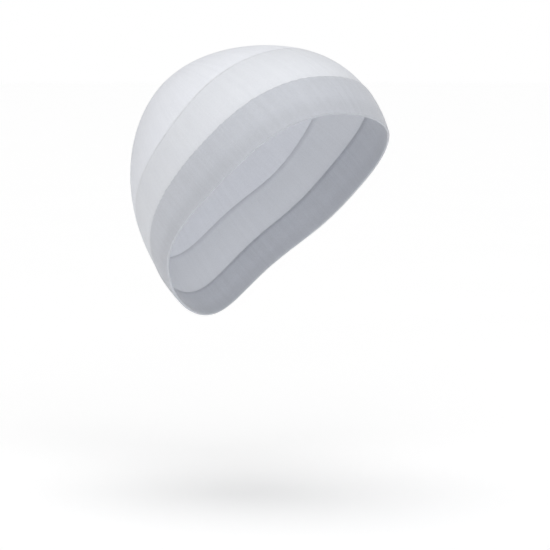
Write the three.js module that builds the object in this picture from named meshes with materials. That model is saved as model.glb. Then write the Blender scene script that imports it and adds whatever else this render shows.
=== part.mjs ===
// Nylon wig cap in its worn form: a seamless knitted tube, closed over the crown of the head and
// ending in a doubled welt that grips from the forehead, over the ears, to the nape.
// Units are millimetres, +Z is up, the face looks along -Y and the wearer's left is +X.
// The origin is the highest point of the inside of the crown, where the cap rests on the head.

import * as THREE from "three";

// ---- Sizes -------------------------------------------------------------------------------------

const CROWN_WALL = 1.0; // sheer single knit
const SHADOW_WALL = 1.2; // denser single knit between crown and welt
const WELT_WALL = 1.6; // knit turned back on itself and laid double
const PIECE_GAP = 0.3; // clearance along the cloth between neighbouring pieces

const SEGMENTS_AROUND = 64;
const ROWS = { welt: 5, shadow: 6, crown: 12, fold: 4 }; // steps along the cloth, and round the fold

// Middle of the head, measured from the origin.
const HEAD_MIDDLE = new THREE.Vector3(0, 3.9, -88.05);

// The courses of knitting lie round this axis, which leans back from upright.
const COURSE_AXIS_LEAN_DEG = 50;

// Inside of the cap: distance from the middle of the head, at each angle down from the course axis.
const CROWN_POLE_RADIUS = 95.8;
const HEAD_FORM = [
  { down: 20, front: 91.7, frontSide: 91.5, side: 91.9, backSide: 94.5, back: 96.9 },
  { down: 40, front: 88.3, frontSide: 85.5, side: 83.5, backSide: 89.4, back: 95.9 },
  { down: 60, front: 88.9, frontSide: 82.7, side: 76.5, backSide: 84.6, back: 95.7 },
  { down: 80, front: 92.8, frontSide: 82.4, side: 73.5, backSide: 82.5, back: 97.2 },
  { down: 100, front: 94.6, frontSide: 83.8, side: 74.1, backSide: 84.9, back: 102.0 },
  { down: 120, front: 93.7, frontSide: 84.5, side: 77.6, backSide: 90.3, back: 106.5 },
];

// The turned edge and the two zones above it, by position round the head (0 = forehead,
// 180 = nape). right and left are the edge's angle down from the course axis, and the cap sits
// a little lower on the left. welt and shadow are the widths of the zones in mm.
const EDGE = [
  { around: 0, right: 113.5, left: 113.5, welt: 31.0, shadow: 43.3 },
  { around: 30, right: 106.5, left: 115.4, welt: 30.9, shadow: 39.7 },
  { around: 60, right: 103.9, left: 113.6, welt: 30.3, shadow: 33.3 },
  { around: 90, right: 101.3, left: 110.0, welt: 28.9, shadow: 27.9 },
  { around: 120, right: 96.7, left: 104.4, welt: 25.7, shadow: 26.5 },
  { around: 150, right: 98.8, left: 100.4, welt: 23.6, shadow: 27.8 },
  { around: 180, right: 104.9, left: 104.9, welt: 23.2, shadow: 29.4 },
];

const COLOURS = { crown: 0xe2e3e7, shadow: 0xd6d8dd, welt: 0xbfc2ca };

// ---- Smooth curves through the tables ----------------------------------------------------------

/** Natural cubic spline through (xs, ys). */
class Spline {
  constructor(xs, ys) {
    this.xs = xs;
    this.ys = ys;
    const n = xs.length;
    this.bend = new Array(n).fill(0);
    const carry = new Array(n).fill(0);
    for (let i = 1; i < n - 1; i++) {
      const before = xs[i] - xs[i - 1];
      const after = xs[i + 1] - xs[i];
      const slopeChange = (ys[i + 1] - ys[i]) / after - (ys[i] - ys[i - 1]) / before;
      const pivot = 2 * (before + after) - before * carry[i - 1];
      carry[i] = after / pivot;
      this.bend[i] = (6 * slopeChange - before * this.bend[i - 1]) / pivot;
    }
    for (let i = n - 2; i > 0; i--) this.bend[i] -= carry[i] * this.bend[i + 1];
  }

  at(x) {
    let i = 0;
    while (i < this.xs.length - 2 && x > this.xs[i + 1]) i++;
    const step = this.xs[i + 1] - this.xs[i];
    const b = (x - this.xs[i]) / step;
    const a = 1 - b;
    const straight = a * this.ys[i] + b * this.ys[i + 1];
    const bent = (a * a * a - a) * this.bend[i] + (b * b * b - b) * this.bend[i + 1];
    return straight + (bent * step * step) / 6;
  }
}

/** Smooth closed curve through samples spaced evenly round a full turn. */
function aroundLoop(samples, angle) {
  const n = samples.length;
  let value = 0;
  for (let k = 0; k <= n / 2; k++) {
    let cosine = 0;
    let sine = 0;
    samples.forEach((sample, j) => {
      cosine += sample * Math.cos((2 * Math.PI * j * k) / n);
      sine += sample * Math.sin((2 * Math.PI * j * k) / n);
    });
    const share = k === 0 || k === n / 2 ? 1 / n : 2 / n;
    value += share * (cosine * Math.cos(k * angle) + sine * Math.sin(k * angle));
  }
  return value;
}

/** Full turn of samples from its left half, front to back, and its right half. */
function fullTurn(left, right) {
  return [...left, ...right.slice(1, -1).reverse()];
}

const FORM_COLUMNS = ["front", "frontSide", "side", "backSide", "back"];

// One spline for each column, run over the pole and down the opposite column.
const meridians = FORM_COLUMNS.map((column, i) => {
  const opposite = FORM_COLUMNS[FORM_COLUMNS.length - 1 - i];
  const over = [...HEAD_FORM].reverse();
  return new Spline(
    [...over.map((row) => -row.down), 0, ...HEAD_FORM.map((row) => row.down)],
    [...over.map((row) => row[opposite]), CROWN_POLE_RADIUS, ...HEAD_FORM.map((row) => row[column])],
  );
});

const edgeTurn = (leftColumn, rightColumn) =>
  fullTurn(
    EDGE.map((row) => row[leftColumn]),
    EDGE.map((row) => row[rightColumn]),
  );
const edgeDown = edgeTurn("left", "right");
const weltWidth = edgeTurn("welt", "welt");
const shadowWidth = edgeTurn("shadow", "shadow");

// ---- The head form -----------------------------------------------------------------------------

const lean = THREE.MathUtils.degToRad(COURSE_AXIS_LEAN_DEG);
const courseAxis = new THREE.Vector3(0, Math.sin(lean), Math.cos(lean));
const courseFront = new THREE.Vector3(0, -Math.cos(lean), Math.sin(lean));
const courseLeft = new THREE.Vector3(1, 0, 0);

/** Unit direction at an angle down from the course axis and an angle round from the forehead. */
function direction(down, around) {
  return new THREE.Vector3()
    .addScaledVector(courseAxis, Math.cos(down))
    .addScaledVector(courseFront, Math.sin(down) * Math.cos(around))
    .addScaledVector(courseLeft, Math.sin(down) * Math.sin(around));
}

/** Distance of the cap's inside from the middle of the head, along a unit direction. */
function formRadius(unit) {
  const down = Math.acos(THREE.MathUtils.clamp(unit.dot(courseAxis), -1, 1));
  const around = Math.atan2(unit.dot(courseLeft), unit.dot(courseFront));
  const half = meridians.map((spline) => spline.at(THREE.MathUtils.radToDeg(down)));
  return aroundLoop(fullTurn(half, half), around);
}

function formPoint(unit) {
  return unit.clone().multiplyScalar(formRadius(unit)).add(HEAD_MIDDLE);
}

/** Point of the cloth: on the inside of the cap, raised square to it by lift. */
function clothPoint(down, around, lift) {
  const unit = direction(down, around);
  const across = new THREE.Vector3().crossVectors(unit, courseFront).normalize();
  const along = new THREE.Vector3().crossVectors(across, unit);
  const nudge = 0.01;
  const tangent = (way) => {
    const ahead = formPoint(unit.clone().addScaledVector(way, nudge).normalize());
    const behind = formPoint(unit.clone().addScaledVector(way, -nudge).normalize());
    return ahead.sub(behind);
  };
  const normal = tangent(across).cross(tangent(along)).normalize();
  if (normal.dot(unit) < 0) normal.negate();
  return formPoint(unit).addScaledVector(normal, lift);
}

/** Angles down from the course axis of the zone borders at one position round the head. */
function borders(around) {
  const edge = THREE.MathUtils.degToRad(aroundLoop(edgeDown, around));
  const radius = formRadius(direction(edge, around));
  const weltTop = edge - aroundLoop(weltWidth, around) / radius;
  const shadowTop = weltTop - aroundLoop(shadowWidth, around) / radius;
  return { edge, weltTop, shadowTop, perMm: 1 / radius };
}

// ---- Sections of the three pieces --------------------------------------------------------------
// A section is a list of { down, lift } stations, from the inside over the lower edge to the outside.

/** Stations along one face, from one angle down to another, ends included. */
function face(from, to, lift, steps) {
  return Array.from({ length: steps + 1 }, (_, i) => ({ down: from + ((to - from) * i) / steps, lift }));
}

/** Closed section of the welt, with its turned lower edge rounded. */
function weltSection(around) {
  const { edge, weltTop, perMm } = borders(around);
  const top = weltTop + 0.5 * PIECE_GAP * perMm;
  const radius = WELT_WALL / 2;
  const foldMiddle = edge - radius * perMm;
  const fold = [];
  for (let i = 1; i < ROWS.fold; i++) {
    const turn = (Math.PI * i) / ROWS.fold;
    fold.push({
      down: foldMiddle + Math.sin(turn) * radius * perMm,
      lift: radius - Math.cos(turn) * radius,
    });
  }
  return [
    ...face(top, foldMiddle, 0, ROWS.welt),
    ...fold,
    ...face(foldMiddle, top, WELT_WALL, ROWS.welt),
  ];
}

/** Closed section of the denser zone above the welt. */
function shadowSection(around) {
  const { weltTop, shadowTop, perMm } = borders(around);
  const bottom = weltTop - 0.5 * PIECE_GAP * perMm;
  const top = shadowTop + 0.5 * PIECE_GAP * perMm;
  return [...face(top, bottom, 0, ROWS.shadow), ...face(bottom, top, SHADOW_WALL, ROWS.shadow)];
}

/** Half section of the crown, from its inside apex over the lower edge to its outside apex. */
function crownSection(around) {
  const { shadowTop, perMm } = borders(around);
  const bottom = shadowTop - 0.5 * PIECE_GAP * perMm;
  return [
    ...face(bottom / ROWS.crown, bottom, 0, ROWS.crown - 1),
    ...face(bottom, bottom / ROWS.crown, CROWN_WALL, ROWS.crown - 1),
  ];
}

// ---- Meshes ------------------------------------------------------------------------------------

/**
 * Solid swept round the head through one section at each position. A closed section makes a ring.
 * An open one is closed by an apex at each end, given as lifts over the pole.
 */
function sweptSolid(sectionAt, apexLifts = null) {
  const positions = [];
  const indices = [];
  let stations = 0;
  for (let s = 0; s < SEGMENTS_AROUND; s++) {
    const around = (2 * Math.PI * s) / SEGMENTS_AROUND;
    const section = sectionAt(around);
    stations = section.length;
    section.forEach(({ down, lift }) => positions.push(...clothPoint(down, around, lift).toArray()));
  }
  const vertex = (s, i) => (s % SEGMENTS_AROUND) * stations + (i % stations);
  const lastStation = apexLifts ? stations - 1 : stations;
  for (let s = 0; s < SEGMENTS_AROUND; s++) {
    for (let i = 0; i < lastStation; i++) {
      const [a, b] = [vertex(s, i), vertex(s, i + 1)];
      const [c, d] = [vertex(s + 1, i + 1), vertex(s + 1, i)];
      indices.push(a, c, b, a, d, c);
    }
  }
  if (apexLifts) {
    const first = positions.length / 3;
    apexLifts.forEach((lift) => positions.push(...clothPoint(0, 0, lift).toArray()));
    for (let s = 0; s < SEGMENTS_AROUND; s++) {
      indices.push(first, vertex(s + 1, 0), vertex(s, 0));
      indices.push(first + 1, vertex(s, stations - 1), vertex(s + 1, stations - 1));
    }
  }
  const geometry = new THREE.BufferGeometry();
  geometry.setAttribute("position", new THREE.Float32BufferAttribute(positions, 3));
  geometry.setIndex(indices);
  geometry.computeVertexNormals();
  return geometry;
}

function piece(name, geometry, colour, roughness) {
  const material = new THREE.MeshStandardMaterial({ color: colour, roughness, metalness: 0 });
  const mesh = new THREE.Mesh(geometry, material);
  mesh.name = name;
  return mesh;
}

const wigCap = new THREE.Group();
wigCap.name = "nylon_wig_cap";
wigCap.add(
  piece("crown", sweptSolid(crownSection, [0, CROWN_WALL]), COLOURS.crown, 0.75),
  piece("shadow_welt", sweptSolid(shadowSection), COLOURS.shadow, 0.78),
  piece("welt_band", sweptSolid(weltSection), COLOURS.welt, 0.82),
);

export default wigCap;
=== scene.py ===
"""Nylon wig cap in its worn form.

The cap is one seamless knitted tube, closed over the crown of the head. Three zones show on it:
the sheer crown, a slightly denser zone below it, and a doubled welt whose turned edge grips the
head from the forehead, over the ears, to the nape. The head itself is left out.

Lengths in the tables are millimetres and everything else is metres. +Z is up, the face looks
along -Y and the wearer's left is +X. The origin is the top of the inside of the crown.
"""

import logging
import math
from dataclasses import dataclass, field
from enum import Enum
from typing import NamedTuple

import bpy
import numpy as np
from mathutils import Matrix, Vector


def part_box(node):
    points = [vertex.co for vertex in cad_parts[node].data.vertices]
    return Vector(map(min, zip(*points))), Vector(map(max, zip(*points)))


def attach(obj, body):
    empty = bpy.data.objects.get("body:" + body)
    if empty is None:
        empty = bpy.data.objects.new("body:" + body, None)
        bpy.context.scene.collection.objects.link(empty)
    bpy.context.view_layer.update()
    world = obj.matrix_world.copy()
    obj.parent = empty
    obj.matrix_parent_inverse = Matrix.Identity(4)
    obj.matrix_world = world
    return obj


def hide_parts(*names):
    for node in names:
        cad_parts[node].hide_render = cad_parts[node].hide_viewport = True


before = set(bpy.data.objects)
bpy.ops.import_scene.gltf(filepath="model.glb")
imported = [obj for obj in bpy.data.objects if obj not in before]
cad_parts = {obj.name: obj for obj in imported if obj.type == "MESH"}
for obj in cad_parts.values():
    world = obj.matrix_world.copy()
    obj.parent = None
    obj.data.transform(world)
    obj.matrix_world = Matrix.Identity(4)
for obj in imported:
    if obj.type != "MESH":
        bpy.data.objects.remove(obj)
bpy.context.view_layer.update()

CLOTH_MAP = "cloth"
BODY = "root"
MM = 0.001
FULL_TURN = 2 * math.pi

Array = np.ndarray
Colour = tuple[float, float, float]
Socket = bpy.types.NodeSocket

log = logging.getLogger("wig_cap")


class Zone(Enum):
    """The knitted zones of the cap, named as their nodes in the frame."""

    CROWN = "crown"
    SHADOW_WELT = "shadow_welt"
    WELT_BAND = "welt_band"


class Slot(Enum):
    """The record's material slots."""

    SHEER = "sheer_nylon"
    DENSE = "dense_nylon"
    DOUBLE = "double_nylon"


# ---- Sizes of the head form and of the zones ----


class FormRow(NamedTuple):
    """Inside radii of the cap, from the middle of the head, at one angle down from its axis."""

    down: float
    front: float
    front_side: float
    side: float
    back_side: float
    back: float


class EdgeRow(NamedTuple):
    """The turned edge and the two zones above it, at one place round the head.

    right and left are the edge's angle down from the axis in degrees; welt and shadow are the
    widths of the doubled band and of the denser zone.
    """

    around: float
    right: float
    left: float
    welt: float
    shadow: float


HEAD_FORM = (
    FormRow(20, 91.7, 91.5, 91.9, 94.5, 96.9),
    FormRow(40, 88.3, 85.5, 83.5, 89.4, 95.9),
    FormRow(60, 88.9, 82.7, 76.5, 84.6, 95.7),
    FormRow(80, 92.8, 82.4, 73.5, 82.5, 97.2),
    FormRow(100, 94.6, 83.8, 74.1, 84.9, 102.0),
    FormRow(120, 93.7, 84.5, 77.6, 90.3, 106.5),
)

EDGE = (
    EdgeRow(0, 113.5, 113.5, 31.0, 43.3),
    EdgeRow(30, 106.5, 115.4, 30.9, 39.7),
    EdgeRow(60, 103.9, 113.6, 30.3, 33.3),
    EdgeRow(90, 101.3, 110.0, 28.9, 27.9),
    EdgeRow(120, 96.7, 104.4, 25.7, 26.5),
    EdgeRow(150, 98.8, 100.4, 23.6, 27.8),
    EdgeRow(180, 104.9, 104.9, 23.2, 29.4),
)


# ---- Smooth curves ----


class Spline:
    """Natural cubic spline through a row of points."""

    def __init__(self, xs: Array, ys: Array) -> None:
        """Work out the bend at each point.

        Args:
            xs: positions, rising.
            ys: the value at each position.
        """
        self.xs = np.asarray(xs, float)
        self.ys = np.asarray(ys, float)
        count = len(self.xs)
        steps = np.diff(self.xs)
        slopes = np.diff(self.ys) / steps
        sides = np.eye(count)
        turns = np.zeros(count)
        for i in range(1, count - 1):
            before, after = steps[i - 1], steps[i]
            sides[i, i - 1 : i + 2] = before / 6, (before + after) / 3, after / 6
            turns[i] = slopes[i] - slopes[i - 1]
        self.bend = np.linalg.solve(sides, turns)

    def at(self, x: Array) -> Array:
        """Value of the curve.

        Args:
            x: positions along the curve.

        Returns:
            The curve's value at each position.
        """
        i = np.clip(np.searchsorted(self.xs, x) - 1, 0, len(self.xs) - 2)
        step = self.xs[i + 1] - self.xs[i]
        b = (x - self.xs[i]) / step
        a = 1 - b
        straight = a * self.ys[i] + b * self.ys[i + 1]
        bent = (a**3 - a) * self.bend[i] + (b**3 - b) * self.bend[i + 1]
        return straight + bent * step**2 / 6


def full_turn(left: list, right: list) -> list:
    """Samples round a full turn, from a left half and a right half that run front to back."""
    return [*left, *right[1:-1][::-1]]


def around_loop(samples: list, around: Array) -> Array:
    """Smooth closed curve through samples spaced evenly round a full turn.

    Args:
        samples: the values, which may be numbers or arrays as long as around.
        around: angles round the turn, in radians.

    Returns:
        The curve's value at each angle.
    """
    count = len(samples)
    stack = np.stack([np.broadcast_to(s, np.shape(around)) for s in samples])
    value = np.zeros(np.shape(around))
    for k in range(count // 2 + 1):
        turns = FULL_TURN * np.arange(count) * k / count
        share = (1 if k in (0, count / 2) else 2) / count
        cosine = np.tensordot(np.cos(turns), stack, (0, 0))
        sine = np.tensordot(np.sin(turns), stack, (0, 0))
        value += share * (cosine * np.cos(k * around) + sine * np.sin(k * around))
    return value


def smooth_step(low: float, high: float, x: Array) -> Array:
    """0 below low, 1 above high and a smooth rise between; the other way if low is above high."""
    t = np.clip((x - low) / (high - low), 0, 1)
    return t * t * (3 - 2 * t)


def uneven(around: Array, seed: int, waves: int = 7) -> Array:
    """Slow, irregular wave round a turn, mostly between -1 and 1.

    Args:
        around: angles round the turn.
        seed: picks the wave.
        waves: number of sines that it is made of.

    Returns:
        The wave at each angle.
    """
    wave = np.zeros(np.shape(around))
    for k, phase in enumerate(np.random.default_rng(seed).random(waves), start=2):
        wave += np.sin(k * around + FULL_TURN * phase)
    return wave / math.sqrt(waves)


def unit(vectors: Array) -> Array:
    """The vectors at length 1."""
    return vectors / np.linalg.norm(vectors, axis=-1, keepdims=True)


def way_out(azimuth: float, elevation: float) -> Vector:
    """Unit direction out from the cap.

    Args:
        azimuth: degrees round from the front towards the wearer's right.
        elevation: degrees up.

    Returns:
        The direction.
    """
    a, e = math.radians(azimuth), math.radians(elevation)
    return Vector((-math.sin(a) * math.cos(e), -math.cos(a) * math.cos(e), math.sin(e)))


def put_in_scene(made: bpy.types.Object) -> bpy.types.Object:
    """The object, added to the scene."""
    bpy.context.scene.collection.objects.link(made)
    return made


# ---- The head form and the layout of the zones ----


@dataclass
class HeadForm:
    """The form that the cap is stretched over, as distances from the middle of the head.

    pole_radius is in millimetres, as the rows of the table are.
    """

    middle: Array = field(default_factory=lambda: np.array([0.0, 3.9, -88.05]) * MM)
    lean: float = math.radians(50)
    pole_radius: float = 95.8
    rows: tuple[FormRow, ...] = HEAD_FORM

    def __post_init__(self) -> None:
        """Set the directions and one curve for each column, run over the pole."""
        self.axis = np.array([0, math.sin(self.lean), math.cos(self.lean)])
        self.front = np.array([0, -math.cos(self.lean), math.sin(self.lean)])
        self.left = np.array([1.0, 0, 0])
        downs = [row.down for row in self.rows]
        columns = [[row[i] for row in self.rows] for i in range(1, len(FormRow._fields))]
        places = np.radians([*(-d for d in downs[::-1]), 0, *downs])
        self.meridians = [
            Spline(places, np.array([*opposite[::-1], self.pole_radius, *column]) * MM)
            for column, opposite in zip(columns, columns[::-1], strict=True)
        ]

    def direction(self, down: Array, around: Array) -> Array:
        """Unit directions at angles down from the axis and round from the forehead."""
        level = np.cos(around)[..., None] * self.front + np.sin(around)[..., None] * self.left
        return np.cos(down)[..., None] * self.axis + np.sin(down)[..., None] * level

    def radius(self, way: Array) -> Array:
        """Distance from the middle of the head to the inside of the cap.

        Args:
            way: unit directions.

        Returns:
            The distance along each direction.
        """
        down = np.arccos(np.clip(way @ self.axis, -1, 1))
        around = np.arctan2(way @ self.left, way @ self.front)
        half = [curve.at(down) for curve in self.meridians]
        return around_loop(full_turn(half, half), around)

    def point(self, way: Array) -> Array:
        """Points of the inside of the cap along unit directions."""
        return way * self.radius(way)[..., None] + self.middle

    def cloth(self, down: Array, around: Array, lift: Array) -> Array:
        """Points of the cloth, raised square to the form.

        Args:
            down: angles down from the axis.
            around: angles round from the forehead.
            lift: heights over the form.

        Returns:
            One point for each angle pair.
        """
        nudge = 0.01
        way = self.direction(down, around)
        across = unit(np.cross(way, self.front))
        along = np.cross(across, way)
        tangents = []
        for side in (across, along):
            ahead = self.point(unit(way + nudge * side))
            behind = self.point(unit(way - nudge * side))
            tangents.append(ahead - behind)
        normal = unit(np.cross(*tangents))
        normal *= np.sign((normal * way).sum(-1, keepdims=True))
        return self.point(way) + normal * np.asarray(lift)[..., None]


@dataclass
class CapLayout:
    """Where the borders of the knitted zones lie on the head form."""

    head: HeadForm
    rows: tuple[EdgeRow, ...] = EDGE

    def _turn(self, left: str, right: str, around: Array) -> Array:
        """A column pair of the edge table as a closed curve."""
        halves = [[getattr(row, name) for row in self.rows] for name in (left, right)]
        return around_loop(full_turn(*halves), around)

    def edge(self, around: Array) -> Array:
        """The turned edge's angle down from the axis."""
        return np.radians(self._turn("left", "right", around))

    def per_metre(self, around: Array) -> Array:
        """The angle that a metre along the cloth takes, near the edge."""
        return 1 / self.head.radius(self.head.direction(self.edge(around), around))

    def welt(self, around: Array) -> Array:
        """Width of the doubled band."""
        return self._turn("welt", "welt", around) * MM

    def shadow(self, around: Array) -> Array:
        """Width of the denser zone."""
        return self._turn("shadow", "shadow", around) * MM

    def down(self, around: Array, rise: Array) -> Array:
        """The angle down from the axis at a distance up the cloth from the turned edge."""
        return self.edge(around) - rise * self.per_metre(around)

    def crown_border(self, around: Array) -> Array:
        """The angle down from the axis of the border between the denser zone and the crown."""
        return self.down(around, self.welt(around) + self.shadow(around))


# ---- Meshes ----


@dataclass
class Loop:
    """One closed line of points round the cap.

    down and lift hold a value for each point, and share is the line's place across its zone, 0
    at the lower border and 1 at the upper one.
    """

    down: Array
    lift: Array
    share: float


def turn_of(count: int) -> Array:
    """Evenly spaced angles round the head, from the nape by the right side and back to it."""
    return np.arange(count) * FULL_TURN / count - math.pi


@dataclass
class ShellMesh:
    """A closed shell of cloth, built from loops that follow each other over its section."""

    head: HeadForm
    points: list[Array] = field(default_factory=list)
    turns: list[Array] = field(default_factory=list)
    shares: list[Array] = field(default_factory=list)
    faces: list[Array] = field(default_factory=list)

    def _first(self, loop: int) -> int:
        """Number of the first vertex of a loop."""
        return sum(len(points) for points in self.points[:loop])

    def _join(self, low: int, high: int) -> None:
        """Fill the strip between two loops, of which one may have half the points of the other.

        Args:
            low: number of one loop.
            high: number of the next.
        """
        swapped = len(self.points[high]) > len(self.points[low])
        if swapped:
            low, high = high, low
        count, fewer = len(self.points[low]), len(self.points[high])
        every = count // fewer
        place = np.arange(fewer)
        fine = [self._first(low) + (every * place + k) % count for k in range(every + 1)]
        near = self._first(high) + place
        far = self._first(high) + (place + 1) % fewer
        strips = [np.stack([fine[-2], fine[-1], far, near], axis=1)]
        if every == 2:
            strips.append(np.stack([fine[0], fine[1], near], axis=1))
        self.faces += [strip[:, ::-1] if swapped else strip for strip in strips]

    def add(self, loop: Loop) -> None:
        """Add a loop and join it to the one before it.

        Args:
            loop: the loop, which may have half or twice the points of the one before.
        """
        count = len(loop.down)
        self.points.append(self.head.cloth(loop.down, turn_of(count), loop.lift))
        self.turns.append(np.arange(count) / count)
        self.shares.append(np.full(count, loop.share))
        if len(self.points) > 1:
            self._join(len(self.points) - 2, len(self.points) - 1)

    def close_section(self) -> None:
        """Join the last loop to the first, so that the shell is a ring."""
        self._join(len(self.points) - 1, 0)

    def close_pole(self, loop: int, lift: float) -> None:
        """Close a loop that lies next to the pole with a point on the pole.

        Args:
            loop: number of the loop, which is the first or the last one added.
            lift: the point's height over the form.
        """
        start, count = self._first(loop), len(self.points[loop])
        apex = sum(len(points) for points in self.points)
        place = np.arange(count)
        fan = np.stack([start + place, start + (place + 1) % count, np.full(count, apex)], axis=1)
        self.faces.append(fan[:, ::-1] if loop == 0 else fan)
        self.points.append(self.head.cloth(np.zeros(1), np.zeros(1), np.full(1, lift)))
        self.turns.append(np.full(1, 0.5))
        self.shares.append(np.ones(1))

    def _map(self, mesh: bpy.types.Mesh) -> None:
        """Write the map "cloth": share of the turn, and place across the zone.

        Args:
            mesh: the finished mesh.
        """
        vertex = np.empty(len(mesh.loops), np.int32)
        mesh.loops.foreach_get("vertex_index", vertex)
        starts = np.empty(len(mesh.polygons), np.int32)
        mesh.polygons.foreach_get("loop_start", starts)
        turn = np.concatenate(self.turns)[vertex]
        widest = np.maximum.reduceat(turn, starts) - np.minimum.reduceat(turn, starts)
        over_seam = np.repeat(widest > 0.5, np.diff([*starts, len(vertex)]))
        turn[over_seam & (turn < 0.5)] += 1
        share = np.concatenate(self.shares)[vertex]
        layer = mesh.uv_layers.new(name=CLOTH_MAP)
        layer.data.foreach_set("uv", np.stack([turn, share], axis=1).astype(np.float32).ravel())

    def build(self, name: str) -> bpy.types.Object:
        """Make the object, with its faces pointing out of the cloth.

        Args:
            name: the object's name.

        Returns:
            A smooth-shaded mesh object with the map "cloth".
        """
        points = np.concatenate(self.points)
        fans = [strip[:, [0, i, i + 1]] for strip in self.faces for i in range(1, strip.shape[1] - 1)]
        a, b, c = (points[np.concatenate(fans)[:, i]] for i in range(3))
        inside_out = (a * np.cross(b, c)).sum() < 0
        faces = [face for strip in self.faces for face in strip[:, :: -1 if inside_out else 1].tolist()]
        mesh = bpy.data.meshes.new(name)
        mesh.from_pydata(points.tolist(), [], faces)
        self._map(mesh)
        mesh.shade_smooth()
        return put_in_scene(bpy.data.objects.new(name, mesh))


# ---- Knitting ----


@dataclass
class Knitting:
    """The wales, which are the columns of loops that run from the edge to the crown."""

    wales: int = 400
    points_per_wale: int = 4
    seed: int = 11
    height_spread: float = 0.45
    swells: int = 6
    fewest_waves: int = 5

    def __post_init__(self) -> None:
        """Give each wale a height of its own, and each slow swell its phase, drift and strength."""
        chance = np.random.default_rng(self.seed)
        self.heights = 1 + self.height_spread * (chance.random(self.wales) - 0.5) * 2
        self.tensions = chance.random((self.swells, 3))

    @property
    def count(self) -> int:
        """Points round the cap."""
        return self.wales * self.points_per_wale

    def ribs(self, depth: float) -> Array:
        """Relief of the wales: a round ridge for each, with its own height.

        Args:
            depth: usual height of a ridge.

        Returns:
            The relief at each point round the cap.
        """
        place = np.arange(self.count) / self.points_per_wale
        height = self.heights[place.astype(int) % self.wales]
        return depth * height * (0.5 - 0.5 * np.cos(FULL_TURN * place))

    def tension(self, around: Array, share: float, height: float) -> Array:
        """Slow swell of the stretched cloth.

        Args:
            around: angles round the head.
            share: place across the zone.
            height: how far it swells either way.

        Returns:
            The swell at each angle.
        """
        swell = np.zeros(np.shape(around))
        for waves, (phase, drift, strength) in enumerate(self.tensions, self.fewest_waves):
            swell += strength * np.sin(waves * around + FULL_TURN * (phase + drift * share))
        return swell * height / self.swells


# ---- Node wiring ----


@dataclass
class Wiring:
    """Adds nodes to one node tree and joins them."""

    tree: bpy.types.NodeTree

    def node(self, kind: str, **settings: object) -> bpy.types.Node:
        """Add a node.

        Args:
            kind: the node's type.
            settings: its options by name.

        Returns:
            The new node.
        """
        made = self.tree.nodes.new(kind)
        for name, value in settings.items():
            setattr(made, name, value)
        return made

    def put(self, value: object, socket: Socket) -> None:
        """Feed an input from a socket, or set it to a plain value.

        Args:
            value: a socket or a value.
            socket: the input.
        """
        if isinstance(value, bpy.types.NodeSocket):
            self.tree.links.new(value, socket)
        else:
            socket.default_value = value

    def math(self, operation: str, *values: object) -> Socket:
        """Add a Math node.

        Args:
            operation: what it does.
            values: numbers or sockets for its inputs, in order.

        Returns:
            The socket that holds the result.
        """
        made = self.node("ShaderNodeMath", operation=operation)
        for value, socket in zip(values, made.inputs, strict=False):
            self.put(value, socket)
        return made.outputs[0]

    def ramp(
        self, value: object, low: float, high: float, start: float = 0.0, end: float = 1.0
    ) -> Socket:
        """Smooth rise from one value to another.

        Args:
            value: what the rise follows.
            low: where it starts.
            high: where it ends.
            start: the value before it.
            end: the value after it.

        Returns:
            The socket that holds the rise.
        """
        made = self.node("ShaderNodeMapRange", interpolation_type="SMOOTHSTEP")
        for name, given in zip(("Value", "From Min", "From Max"), (value, low, high), strict=True):
            self.put(given, made.inputs[name])
        self.put(start, made.inputs["To Min"])
        self.put(end, made.inputs["To Max"])
        return made.outputs["Result"]

    def mix(self, share: object, first: object, second: object, blend: str = "MIX") -> Socket:
        """Mix two colours.

        Args:
            share: how much of the second colour shows.
            first: a colour or a colour socket.
            second: the same.
            blend: the way of mixing.

        Returns:
            The socket that holds the mixed colour.
        """
        made = self.node("ShaderNodeMix", data_type="RGBA", blend_type=blend)
        self.put(share, made.inputs["Factor"])
        for value, socket in zip((first, second), (made.inputs[6], made.inputs[7]), strict=True):
            self.put(value if isinstance(value, bpy.types.NodeSocket) else (*value, 1.0), socket)
        return made.outputs[2]

    def group(self, tree: bpy.types.NodeTree, **values: object) -> bpy.types.Node:
        """Place a node group.

        Args:
            tree: the group.
            values: what its inputs get, by their names with _ for a space.

        Returns:
            The group's node.
        """
        made = self.node("ShaderNodeGroup", node_tree=tree)
        for name, value in values.items():
            self.put(value, made.inputs[name.replace("_", " ").capitalize()])
        return made


class Effect(Enum):
    """The surface effects that the finishes share."""

    LOOPS = "knitted loops"
    WALE_TONE = "wale tone"
    CLOUD = "soft cloud"


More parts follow.
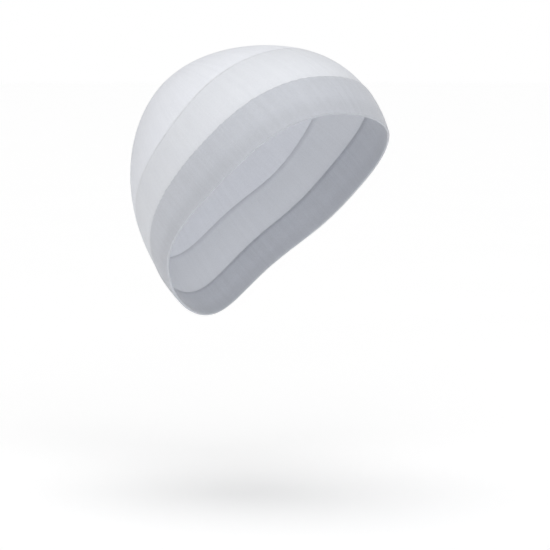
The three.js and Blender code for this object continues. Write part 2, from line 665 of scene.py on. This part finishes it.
@dataclass
class Effects:
    """The node groups of the shared surface effects, each built once.

    own_tone weighs the tone that each wale and each loop has to itself, and shared_tone the
    tone that neighbours share, which has so many noise cells across a wale and along a course.
    """

    leg_slant: float = 0.5
    leg_roundness: float = 0.6
    lap: float = 0.45
    yarn_from: float = 0.1
    yarn_to: float = 0.6
    cells_across: float = 0.45
    cells_along: float = 0.03
    own_tone: float = 0.35
    shared_tone: float = 0.3
    cloud_detail: float = 2.0
    built: dict[Effect, bpy.types.NodeTree] = field(default_factory=dict)

    def get(self, effect: Effect) -> bpy.types.NodeTree:
        """The node group of an effect, built when it is first asked for.

        Args:
            effect: the effect.

        Returns:
            Its node group.
        """
        if effect not in self.built:
            makers = {
                Effect.LOOPS: self._loops,
                Effect.WALE_TONE: self._wale_tone,
                Effect.CLOUD: self._cloud,
            }
            self.built[effect] = makers[effect]()
        return self.built[effect]

    @staticmethod
    def _start(effect: Effect, inputs: list[str], outputs: list[str]) -> tuple:
        """Make an empty group with number sockets.

        Args:
            effect: the effect that it is for.
            inputs: names of its inputs.
            outputs: names of its outputs.

        Returns:
            The group's wiring, its input node and its output node.
        """
        tree = bpy.data.node_groups.new(effect.value, "ShaderNodeTree")
        for names, way in ((inputs, "INPUT"), (outputs, "OUTPUT")):
            for name in names:
                tree.interface.new_socket(name, in_out=way, socket_type="NodeSocketFloat")
        wiring = Wiring(tree)
        return wiring, wiring.node("NodeGroupInput"), wiring.node("NodeGroupOutput")

    def _loops(self) -> bpy.types.NodeTree:
        """The face of a plain knit: each loop shows as a V of two slanting legs.

        Returns:
            A group that takes the count of wales and courses passed, and puts out the relief and
            how much of the place is yarn.
        """
        wiring, given, out = self._start(Effect.LOOPS, ["Wales", "Courses"], ["Height", "Yarn"])
        across = wiring.math("FRACT", given.outputs["Wales"])
        from_middle = wiring.math("ABSOLUTE", wiring.math("MULTIPLY_ADD", across, 2.0, -1.0))
        leg = wiring.math("SINE", wiring.math("MULTIPLY", from_middle, math.pi))
        slant = wiring.math("MULTIPLY_ADD", from_middle, -self.leg_slant, given.outputs["Courses"])
        along = wiring.math("SINE", wiring.math("MULTIPLY", wiring.math("FRACT", slant), math.pi))
        overlap = wiring.math("MULTIPLY_ADD", along, self.lap, 1 - self.lap)
        height = wiring.math("MULTIPLY", wiring.math("POWER", leg, self.leg_roundness), overlap)
        wiring.put(height, out.inputs["Height"])
        wiring.put(wiring.ramp(height, self.yarn_from, self.yarn_to), out.inputs["Yarn"])
        return wiring.tree

    def _wale_tone(self) -> bpy.types.NodeTree:
        """Streaks along the wales, with each wale and each loop a little lighter or darker.

        Returns:
            A group that takes the count of wales and courses passed and puts out a tone from 0
            to 1 that averages a half.
        """
        wiring, given, out = self._start(Effect.WALE_TONE, ["Wales", "Courses"], ["Tone"])
        number = wiring.math("FLOOR", given.outputs["Wales"])
        wale = wiring.node("ShaderNodeTexWhiteNoise", noise_dimensions="1D")
        wiring.put(number, wale.inputs["W"])
        cell = wiring.node("ShaderNodeCombineXYZ")
        wiring.put(number, cell.inputs["X"])
        wiring.put(wiring.math("FLOOR", given.outputs["Courses"]), cell.inputs["Y"])
        loop = wiring.node("ShaderNodeTexWhiteNoise", noise_dimensions="2D")
        wiring.put(cell.outputs["Vector"], loop.inputs["Vector"])
        place = wiring.node("ShaderNodeCombineXYZ")
        spread = {"X": ("Wales", self.cells_across), "Y": ("Courses", self.cells_along)}
        for axis, (name, cells) in spread.items():
            wiring.put(wiring.math("MULTIPLY", given.outputs[name], cells), place.inputs[axis])
        broad = wiring.node("ShaderNodeTexNoise", noise_dimensions="2D")
        wiring.put(place.outputs["Vector"], broad.inputs["Vector"])
        wiring.put(1.0, broad.inputs["Scale"])
        single = wiring.math("ADD", wale.outputs["Value"], loop.outputs["Value"])
        tone = wiring.math("MULTIPLY", broad.outputs["Fac"], self.shared_tone)
        tone = wiring.math("MULTIPLY_ADD", single, self.own_tone, tone)
        wiring.put(tone, out.inputs["Tone"])
        return wiring.tree

    def _cloud(self) -> bpy.types.NodeTree:
        """Slow unevenness of the stretched cloth.

        Returns:
            A group that takes the number of patches in a metre and puts out a tone from 0 to 1.
        """
        wiring, given, out = self._start(Effect.CLOUD, ["Patches"], ["Tone"])
        place = wiring.node("ShaderNodeTexCoord")
        noise = wiring.node("ShaderNodeTexNoise")
        wiring.put(place.outputs["Object"], noise.inputs["Vector"])
        wiring.put(given.outputs["Patches"], noise.inputs["Scale"])
        wiring.put(self.cloud_detail, noise.inputs["Detail"])
        wiring.put(noise.outputs["Fac"], out.inputs["Tone"])
        return wiring.tree


# ---- Finishes ----


@dataclass(frozen=True)
class Shade:
    """A part of a zone that is darker or lighter than the rest.

    The shade is full from the zone's border up to low and gone from high, as shares of the zone,
    or the other way round if low is above high. A negative strength makes the part lighter. Some
    shades are the cloth's own tone and some are painted light; each finish says which.
    """

    low: float
    high: float
    strength: float


@dataclass(frozen=True)
class KnitFinish:
    """Fine nylon knit, as one zone of the cap shows it.

    fade says between which shares of the zone the loops' relief fades out, if it does.
    """

    name: str
    yarn: Colour
    between: Colour
    courses: float
    loop_depth: float
    streaks: float
    clouds: float
    sheen: float
    glow: float
    shades: tuple[Shade, ...]
    fade: tuple[float, float] | None = None
    patches: float = 14.0
    roughness: float = 0.62
    yarn_polish: float = 0.08
    sheen_roughness: float = 0.5
    ior: float = 1.5
    glow_depth: float = 0.8 * MM

    def material(self, effects: Effects, wales: int) -> bpy.types.Material:
        """Make the material.

        Args:
            effects: the shared node groups.
            wales: number of wales round the cap.

        Returns:
            A material that reads the map "cloth".
        """
        material = bpy.data.materials.new(self.name)
        material.use_nodes = True
        wiring = Wiring(material.node_tree)
        shader = material.node_tree.nodes["Principled BSDF"]
        place = wiring.node("ShaderNodeSeparateXYZ")
        wiring.put(wiring.node("ShaderNodeUVMap", uv_map=CLOTH_MAP).outputs["UV"], place.inputs[0])
        turn, share = place.outputs["X"], place.outputs["Y"]
        passed = {
            "wales": wiring.math("MULTIPLY", turn, wales),
            "courses": wiring.math("MULTIPLY", share, self.courses),
        }
        loops = wiring.group(effects.get(Effect.LOOPS), **passed)
        streaks = wiring.group(effects.get(Effect.WALE_TONE), **passed)
        cloud = wiring.group(effects.get(Effect.CLOUD), patches=self.patches)

        tone = wiring.math("MULTIPLY_ADD", streaks.outputs["Tone"], self.streaks, 1 - self.streaks / 2)
        drift = wiring.math("MULTIPLY_ADD", cloud.outputs["Tone"], self.clouds, 1 - self.clouds / 2)
        tone = wiring.math("MULTIPLY", tone, drift)
        for shade in self.shades:
            kept = wiring.ramp(share, shade.low, shade.high, 1 - shade.strength, 1.0)
            tone = wiring.math("MULTIPLY", tone, kept)
        cloth = wiring.mix(loops.outputs["Yarn"], self.between, self.yarn)
        grey = wiring.node("ShaderNodeCombineColor")
        for channel in grey.inputs:
            wiring.put(tone, channel)
        wiring.put(wiring.mix(1.0, cloth, grey.outputs[0], "MULTIPLY"), shader.inputs["Base Color"])

        between_rough = self.roughness + self.yarn_polish
        rough = wiring.math("MULTIPLY_ADD", loops.outputs["Yarn"], -self.yarn_polish, between_rough)
        wiring.put(rough, shader.inputs["Roughness"])
        height = loops.outputs["Height"]
        if self.fade:
            height = wiring.math("MULTIPLY", height, wiring.ramp(share, *self.fade, 1.0, 0.0))
        bump = wiring.node("ShaderNodeBump")
        wiring.put(self.loop_depth, bump.inputs["Distance"])
        wiring.put(height, bump.inputs["Height"])
        wiring.put(bump.outputs["Normal"], shader.inputs["Normal"])
        shader.inputs["Sheen Weight"].default_value = self.sheen
        shader.inputs["Sheen Roughness"].default_value = self.sheen_roughness
        shader.inputs["IOR"].default_value = self.ior
        shader.inputs["Subsurface Weight"].default_value = self.glow
        shader.inputs["Subsurface Radius"].default_value = (1.0, 1.0, 1.0)
        shader.inputs["Subsurface Scale"].default_value = self.glow_depth
        return material


SHEER_NYLON = KnitFinish(
    name="sheer nylon",
    yarn=(0.813, 0.830, 0.883),
    between=(0.699, 0.714, 0.758),
    courses=112,
    loop_depth=0.045 * MM,
    streaks=0.075,
    clouds=0.04,
    sheen=0.0,
    glow=0.7,
    shades=(Shade(0.0, 0.03, 0.02),),
    fade=(0.45, 0.95),
)
DENSE_NYLON = KnitFinish(
    name="dense nylon",
    yarn=(0.732, 0.747, 0.782),
    between=(0.615, 0.628, 0.657),
    courses=38,
    loop_depth=0.05 * MM,
    streaks=0.06,
    clouds=0.04,
    sheen=0.0,
    glow=0.6,
    # Darker next to the band. The second shade is painted light: the top edge is lightened to offset
    # the darker line that the overlap with the crown leaves in the subsurface glow.
    shades=(Shade(0.0, 0.14, 0.02), Shade(0.965, 0.86, -0.02)),
)
DOUBLE_NYLON = KnitFinish(
    name="double nylon",
    yarn=(0.562, 0.581, 0.628),
    between=(0.428, 0.442, 0.476),
    courses=33,
    loop_depth=0.08 * MM,
    streaks=0.112,
    clouds=0.05,
    sheen=0.32,
    glow=0.35,
    # Darker in the lower part and lighter right along the turned edge. The third shade is painted
    # light: the top edge is lightened to offset the darker line that the pressed top and the subsurface
    # glow leave there.
    shades=(Shade(0.16, 0.52, 0.075), Shade(0.0, 0.10, -0.025), Shade(0.97, 0.88, -0.03)),
)


# ---- The three pieces ----


@dataclass
class KnitPiece:
    """What the three pieces of the cap have in common."""

    layout: CapLayout
    knitting: Knitting
    zone: Zone
    slot: Slot
    finish: KnitFinish
    relaxed: tuple[float, float]
    relaxed_area: float | None = None

    @property
    def name(self) -> str:
        """The piece's name."""
        return f"{self.zone.value}_knit"

    def shell(self) -> ShellMesh:
        """The piece's cloth, which each kind of piece makes in its own way."""
        raise NotImplementedError

    def build(self, effects: Effects) -> bpy.types.Object:
        """Make the piece, dress it and set it in the frame.

        Args:
            effects: the shared node groups.

        Returns:
            The finished object.
        """
        piece = self.shell().build(self.name)
        piece.data.materials.append(self.finish.material(effects, self.knitting.wales))
        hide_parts(self.zone.value)
        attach(piece, BODY)
        return piece


@dataclass
class WeltBandKnit(KnitPiece):
    """The doubled band: two layers joined by the turned edge, open at the top for the next zone."""

    outside: float = 1.5 * MM
    layer: float = 0.42 * MM
    pocket: float = 2.0 * MM
    top_drop: float = 1.1 * MM
    front_rise: float = 0.35 * MM
    front_narrowness: int = 12
    top_press: float = 0.26 * MM
    press_reach: float = 3.5 * MM
    rib: float = 0.06 * MM
    hem_low: float = 0.30
    hem_high: float = 0.50
    hem_lift: float = 0.08 * MM
    roll_height: float = 2.2 * MM
    roll_core: float = 0.88 * MM
    roll_lift: float = 0.10 * MM
    tooth: float = 0.45 * MM
    wales_per_tooth: int = 4
    lip_rise: float = 0.105 * MM
    lip_round: float = 0.147 * MM
    top_layer: float = 0.378 * MM
    inner_lip: float = 0.084 * MM
    swell: float = 0.12 * MM
    rows_inside: int = 9
    rows_fold: int = 6
    rows_outside: int = 34

    def _teeth(self) -> Array:
        """The linked loops of the top edge.

        Returns:
            How far they reach up, at each point round the cap.
        """
        place = np.arange(self.knitting.count) / self.knitting.points_per_wale
        height = self.knitting.heights[(place / self.wales_per_tooth).astype(int)]
        return self.tooth * height * np.abs(np.sin(math.pi * place / self.wales_per_tooth))

    def shell(self) -> ShellMesh:
        """Draw the band's section, from inside the top, round the turned edge, to the top again.

        Returns:
            The band's shell, a closed ring.
        """
        shell = ShellMesh(self.layout.head)
        around = turn_of(self.knitting.count)
        flat = np.zeros_like(around)
        front = (0.5 + 0.5 * np.cos(around)) ** self.front_narrowness
        width = self.layout.welt(around) - self.top_drop + self.front_rise * front
        top = width + self._teeth()
        ribs = self.knitting.ribs(self.rib)
        radius = self.outside / 2
        upper = self.outside - self.top_press

        def add(rise: Array, lift: Array, share: float) -> None:
            """Add a loop at a distance up from the turned edge."""
            swell = self.knitting.tension(around, share, self.swell)
            shell.add(Loop(self.layout.down(around, rise), lift + swell, share))

        for share in np.linspace(1, 0, self.rows_inside):
            add(radius + (width - radius) * share, flat, share)
        for turn in np.linspace(0, math.pi, self.rows_fold + 1)[1:-1]:
            lift = radius * (1 - math.cos(turn)) + ribs * (turn / math.pi) ** 2
            add(flat + radius * (1 - math.sin(turn)), lift, 0.0)
        for share in np.linspace(0, 1, self.rows_outside):
            rise = radius + (top - radius) * share
            hem = self.hem_lift * smooth_step(self.hem_high, self.hem_low, share)
            roll = self.roll_lift * smooth_step(self.roll_height, self.roll_core, rise)
            press = self.top_press * smooth_step(top - self.press_reach, top, rise)
            add(rise, self.outside + hem + roll - press + ribs, share)
        add(top + self.lip_rise, upper - self.lip_round + ribs, 1.0)
        ceiling = upper - self.top_layer
        add(top, flat + ceiling, 1.0)
        for lift in (ceiling, self.layer):
            add(width - self.pocket, flat + lift, 1 - self.pocket / width.mean())
        add(width, flat + self.layer, 1.0)
        add(width + self.inner_lip, flat + self.layer / 2, 1.0)
        shell.close_section()
        return shell


@dataclass
class ShadowWeltKnit(KnitPiece):
    """The denser single knit between the band, which holds its lower margin, and the crown.

    ribs_full is the share of the zone at which the ribs reach their full height.
    """

    outside: float = 0.95 * MM
    wall: float = 0.42 * MM
    top_reach: float = 0.45 * MM
    margin: float = 2.8 * MM
    tuck: float = 0.11 * MM
    tuck_from: float = 1.1 * MM
    tuck_to: float = 1.6 * MM
    lip: float = 0.126 * MM
    rib: float = 0.03 * MM
    ribs_full: float = 0.125
    swell: float = 0.12 * MM
    rows_outside: int = 28
    rows_inside: int = 8

    def shell(self) -> ShellMesh:
        """Draw the zone's section, up the outside, over the top edge and down the inside.

        Returns:
            The zone's shell, a closed ring.
        """
        shell = ShellMesh(self.layout.head)
        around = turn_of(self.knitting.count)
        start = self.layout.welt(around)
        width = self.layout.shadow(around) + self.top_reach
        ribs = self.knitting.ribs(self.rib)
        base = self.outside - self.wall

        def add(rise: Array, lift: Array, share: float) -> None:
            """Add a loop at a distance up from the zone's lower border."""
            swell = self.knitting.tension(around, share, self.swell * share)
            shell.add(Loop(self.layout.down(around, start + rise), lift + swell, share))

        flat = np.zeros_like(around)
        add(flat - self.margin, flat + self.outside - self.tuck, 0.0)
        add(flat - self.tuck_to, flat + self.outside - self.tuck, 0.0)
        add(flat - self.tuck_from, flat + self.outside, 0.0)
        for share in np.linspace(0, 1, self.rows_outside):
            add(width * share, self.outside + ribs * min(1, share / self.ribs_full), share)
        add(width + self.lip, flat + base + self.wall / 2, 1.0)
        for share in np.linspace(1, 0, self.rows_inside):
            add(width * share, flat + base, share)
        add(flat - self.tuck_from, flat + base, 0.0)
        add(flat - self.tuck_to, flat + base - self.tuck, 0.0)
        add(flat - self.margin, flat + base - self.tuck, 0.0)
        add(flat - self.margin - self.lip, flat + base - self.tuck + self.wall / 2, 0.0)
        shell.close_section()
        return shell


@dataclass
class Closing:
    """The closing stitches at the pole: a small knot, and the gathers that it draws in."""

    gathers: int = 34
    depth: float = 0.112 * MM
    depth_spread: float = 0.048 * MM
    reach: float = 13.3 * MM
    reach_spread: float = 3.8 * MM
    sway: float = 1.4
    seed: int = 21
    start: float = 1.6 * MM
    full: float = 5.0 * MM
    fall: float = 4.0 * MM
    knot_radius: float = 2.0 * MM
    knot_width: float = 0.9 * MM
    knot_height: float = 0.30 * MM
    pit_width: float = 1.2 * MM
    pit_depth: float = 0.24 * MM

    def relief(self, reach: float, around: Array) -> Array:
        """Relief of the knot, which is a ring round a pit, and of the gathers.

        The gathers come in from start to full, and go from fall to the end of their reach.

        Args:
            reach: distance from the pole.
            around: angles round the pole.

        Returns:
            The relief at each angle.
        """
        bend, depth, length = (uneven(around, self.seed + i) for i in range(3))
        fade = smooth_step(self.start, self.full, reach)
        fade = fade * smooth_step(self.reach + self.reach_spread * length, self.fall, reach)
        waves = np.cos(self.gathers * around + self.sway * bend)
        folds = fade * (self.depth + self.depth_spread * depth) * waves
        ring = math.exp(-(((reach - self.knot_radius) / self.knot_width) ** 2))
        pit = math.exp(-((reach / self.pit_width) ** 2))
        return folds + self.knot_height * ring - self.pit_depth * pit


@dataclass
class CrownKnit(KnitPiece):
    """The sheer knit that closes over the head, gathered at the pole.

    The rows lie pole_step apart as far as pole_reach, and close together again over the
    border_strip. A loop nearer to the pole than thinning says has one in so many of the points.
    """

    outside: float = 0.97 * MM
    wall: float = 0.40 * MM
    margin: float = 0.1 * MM
    lip: float = 0.12 * MM
    swell: float = 0.12 * MM
    closing: Closing = field(default_factory=Closing)
    points_around: int = 480
    thinning: tuple[tuple[int, float], ...] = ((8, 1.5 * MM), (4, 3 * MM), (2, 5 * MM))
    pole_step: float = 0.5 * MM
    pole_reach: float = 12 * MM
    border_strip: float = 3.2 * MM
    rows_between: int = 54
    rows_border: int = 8

    def _points_at(self, reach: float) -> int:
        """Number of points in a loop at a distance from the pole."""
        every = next((every for every, limit in self.thinning if reach < limit), 1)
        return self.points_around // every

    def _reaches(self, length: float) -> Array:
        """Distances from the pole at which the rows lie.

        Args:
            length: distance from the pole to the border.

        Returns:
            The distances, rising.
        """
        strip = length - self.border_strip
        fine = np.arange(self.pole_step, self.pole_reach, self.pole_step)
        between = np.linspace(self.pole_reach, strip, self.rows_between)
        border = np.linspace(strip, length, self.rows_border + 1)[1:]
        return np.concatenate([fine, between, border])

    def shell(self) -> ShellMesh:
        """Draw the crown's section, from inside the pole, round the lower edge, to outside the pole.

        Returns:
            The crown's shell, closed at the pole.
        """
        head = self.layout.head
        shell = ShellMesh(head)
        middle = float(self.layout.crown_border(turn_of(self.points_around)).mean())
        length = middle * head.pole_radius * MM

        def add(reach: float, lift: float, extra: float = 0.0) -> None:
            """Add a loop.

            Args:
                reach: its distance from the pole.
                lift: its height over the form.
                extra: how far it lies past the border.
            """
            around = turn_of(self._points_at(reach))
            border = self.layout.crown_border(around)
            part = min(1.0, reach / length)
            down = part * (middle + (border - middle) * part) + extra * self.layout.per_metre(around)
            swell = self.knitting.tension(around, 2 - part, self.swell * part)
            relief = self.closing.relief(reach, around)
            shell.add(Loop(down, lift + swell + relief, 1 - part))

        reaches = self._reaches(length)
        base = self.outside - self.wall
        for reach in reaches[::2]:
            add(reach, base)
        add(length, base, self.margin)
        add(length, base + self.wall / 2, self.margin + self.lip)
        add(length, self.outside, self.margin)
        for reach in reaches[::-1]:
            add(reach, self.outside)
        last = len(shell.points) - 1
        centre = float(self.closing.relief(0.0, np.zeros(1))[0])
        shell.close_pole(0, base + centre)
        shell.close_pole(last, self.outside + centre)
        return shell


# ---- The studio ----


@dataclass(frozen=True)
class Lamp:
    """A far, soft lamp.

    azimuth runs from the front towards the wearer's right. It, elevation and softness, the
    angle that the lamp fills, are in degrees.
    """

    name: str
    strength: float
    azimuth: float
    elevation: float
    softness: float

    def light(self) -> None:
        """Hang the lamp."""
        data = bpy.data.lights.new(self.name, "SUN")
        data.energy = self.strength
        data.angle = math.radians(self.softness)
        lamp = put_in_scene(bpy.data.objects.new(self.name, data))
        lamp.rotation_mode = "QUATERNION"
        lamp.rotation_quaternion = way_out(self.azimuth, self.elevation).to_track_quat("Z", "Y")


KEY = Lamp("key", strength=1.32, azimuth=47, elevation=35, softness=50)
OVERHEAD = Lamp("overhead", strength=1.11, azimuth=53, elevation=83, softness=50)


@dataclass
class Studio:
    """A pale floor, soft light from all round, a key lamp and an overhead lamp.

    The camera looks from view_azimuth and view_elevation, in degrees, at a place below the
    middle of the head and to its side. lens and sensor are the camera's, in millimetres.
    """

    head: HeadForm
    floor_drop: float = 0.305
    floor_radius: float = 40.0
    floor_sides: int = 96
    floor_colour: Colour = (0.95, 0.95, 0.95)
    floor_shade: float = 0.98
    floor_grain: float = 3.0
    floor_roughness: float = 0.9
    floor_glow: float = 0.175
    fill: float = 0.31
    lamps: tuple[Lamp, ...] = (KEY, OVERHEAD)
    view_azimuth: float = 53
    view_elevation: float = 5
    view_distance: float = 1.6
    view_aside: float = 8.9 * MM
    view_below: float = 64.4 * MM
    lens: float = 156.5
    sensor: float = 36

    def floor(self) -> None:
        """Lay a round pale floor under the cap."""
        rim = [
            (self.floor_radius * math.cos(a), self.floor_radius * math.sin(a), -self.floor_drop)
            for a in np.linspace(0, FULL_TURN, self.floor_sides, endpoint=False)
        ]
        mesh = bpy.data.meshes.new("floor")
        mesh.from_pydata(rim, [], [range(len(rim))])
        floor = put_in_scene(bpy.data.objects.new("floor", mesh))
        material = bpy.data.materials.new("floor paint")
        material.use_nodes = True
        wiring = Wiring(material.node_tree)
        shader = material.node_tree.nodes["Principled BSDF"]
        place = wiring.node("ShaderNodeTexCoord")
        grain = wiring.node("ShaderNodeTexNoise")
        wiring.put(place.outputs["Object"], grain.inputs["Vector"])
        wiring.put(self.floor_grain, grain.inputs["Scale"])
        darker = tuple(self.floor_shade * c for c in self.floor_colour)
        paint = wiring.mix(grain.outputs["Fac"], darker, self.floor_colour)
        wiring.put(paint, shader.inputs["Base Color"])
        shader.inputs["Roughness"].default_value = self.floor_roughness
        shader.inputs["Emission Color"].default_value = (1, 1, 1, 1)
        shader.inputs["Emission Strength"].default_value = self.floor_glow
        mesh.materials.append(material)

    def light(self) -> None:
        """Soft light from all round, and the lamps."""
        world = bpy.data.worlds.new("studio")
        bpy.context.scene.world = world
        world.use_nodes = True
        wiring = Wiring(world.node_tree)
        background = world.node_tree.nodes["Background"]
        background.inputs["Color"].default_value = (1, 1, 1, 1)
        path = wiring.node("ShaderNodeLightPath")
        seen = wiring.math("MULTIPLY_ADD", path.outputs["Is Camera Ray"], 1 - self.fill, self.fill)
        wiring.put(seen, background.inputs["Strength"])
        for lamp in self.lamps:
            lamp.light()
        bpy.context.scene.view_settings.view_transform = "Standard"

    def camera(self) -> None:
        """Set up a long-lens camera to the right of the face, a little above the level of the head."""
        back = way_out(self.view_azimuth, self.view_elevation)
        a = math.radians(self.view_azimuth)
        right = Vector((math.cos(a), -math.sin(a), 0))
        up = back.cross(right)
        middle = Vector(self.head.middle.tolist())
        place = middle + self.view_aside * right - self.view_below * up + self.view_distance * back
        data = bpy.data.cameras.new("camera")
        data.lens = self.lens
        data.sensor_width = self.sensor
        camera = put_in_scene(bpy.data.objects.new("camera", data))
        turn = Matrix((right, up, back)).transposed()
        camera.matrix_world = Matrix.Translation(place) @ turn.to_4x4()
        bpy.context.scene.camera = camera


# ---- The whole ----


def main() -> None:
    """Build the cap and the studio round it."""
    logging.basicConfig(level=logging.INFO, format="%(name)s: %(message)s")
    head = HeadForm()
    layout = CapLayout(head)
    knitting = Knitting()
    effects = Effects()
    shared = {"layout": layout, "knitting": knitting}
    pieces = (
        CrownKnit(
            **shared,
            zone=Zone.CROWN,
            slot=Slot.SHEER,
            finish=SHEER_NYLON,
            relaxed=(0.19, 0.15),
            relaxed_area=0.0235,
        ),
        ShadowWeltKnit(
            **shared, zone=Zone.SHADOW_WELT, slot=Slot.DENSE, finish=DENSE_NYLON, relaxed=(0.38, 0.033)
        ),
        WeltBandKnit(
            **shared, zone=Zone.WELT_BAND, slot=Slot.DOUBLE, finish=DOUBLE_NYLON, relaxed=(0.38, 0.030)
        ),
    )
    for piece in pieces:
        made = piece.build(effects)
        low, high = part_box(piece.zone.value)
        corners = np.array([v.co for v in made.data.vertices])
        gap = max(np.abs(corners.min(0) - low).max(), np.abs(corners.max(0) - high).max())
        faces = sum(len(face.vertices) - 2 for face in made.data.polygons)
        log.info("%s: %d triangles, %.2f mm off the frame's box", piece.name, faces, gap / MM)
    studio = Studio(head)
    studio.floor()
    studio.light()
    studio.camera()
    log.info("studio set")


if __name__ == "__main__":
    main()
